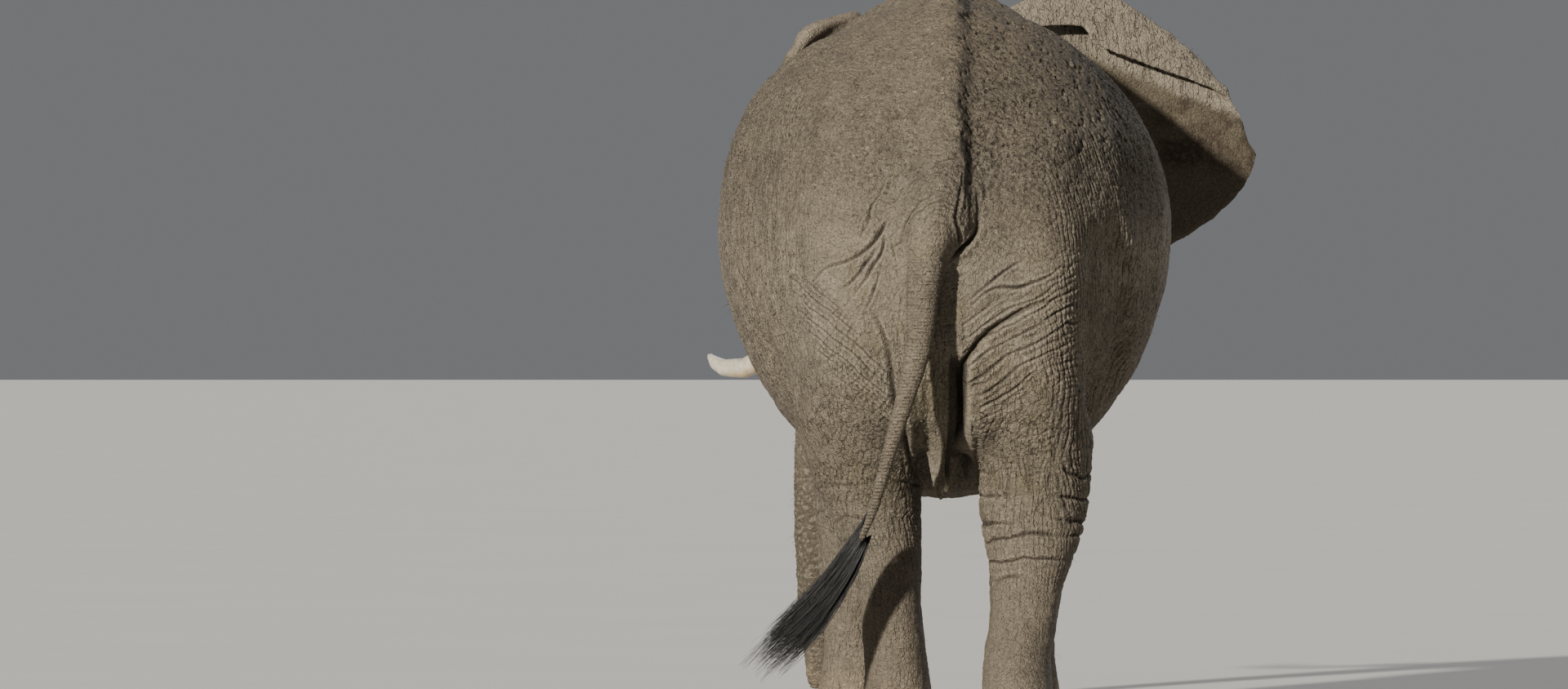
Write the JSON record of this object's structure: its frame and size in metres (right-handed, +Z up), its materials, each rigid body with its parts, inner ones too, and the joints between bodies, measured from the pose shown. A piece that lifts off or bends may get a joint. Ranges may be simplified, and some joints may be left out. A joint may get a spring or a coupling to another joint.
{
  "type": "elephant, still model",
  "caption": "Life-size African savanna elephant cow in mid walk, head turned to the left, one ear spread with its top edge folded back, tail swinging.",
  "frame": {"origin": "middle of the underside of the bounding box, at floor level", "axes": "+Z up; the animal faces -Y and her left side is +X"},
  "size_m": [2.0158, 3.9766, 2.6247],
  "materials": {
    "skin": "matt, dusty grey-brown, cracked",
    "hair": "coarse black hair",
    "ivory": "smooth ivory, stained at the root",
    "eye": "wet, dark amber-brown",
    "nail": "worn horn"
  },
  "bodies": {
    "root": {"torso": "skin", "neck": "skin", "head": "skin", "lower_jaw": "skin", "trunk_upper": "skin", "trunk_middle": "skin", "trunk_tip": "skin", "ear_left": "skin", "ear_right": "skin", "vulval_fold": "skin", "fore_left_upper": "skin", "fore_left_lower": "skin", "fore_right_upper": "skin", "fore_right_lower": "skin", "hind_left_upper": "skin", "hind_left_lower": "skin", "hind_right_upper": "skin", "hind_right_lower": "skin", "tail_upper": "skin", "tail_lower": "skin", "tail_tuft": "hair", "tusk_left": "ivory", "tusk_right": "ivory", "eye_left": "eye", "eye_right": "eye", "nail_fore_left_1": "nail", "nail_fore_left_2": "nail", "nail_fore_left_3": "nail", "nail_fore_left_4": "nail", "nail_fore_right_1": "nail", "nail_fore_right_2": "nail", "nail_fore_right_3": "nail", "nail_fore_right_4": "nail", "nail_hind_left_1": "nail", "nail_hind_left_2": "nail", "nail_hind_left_3": "nail", "nail_hind_right_1": "nail", "nail_hind_right_2": "nail", "nail_hind_right_3": "nail"}
  },
  "joints": []
}
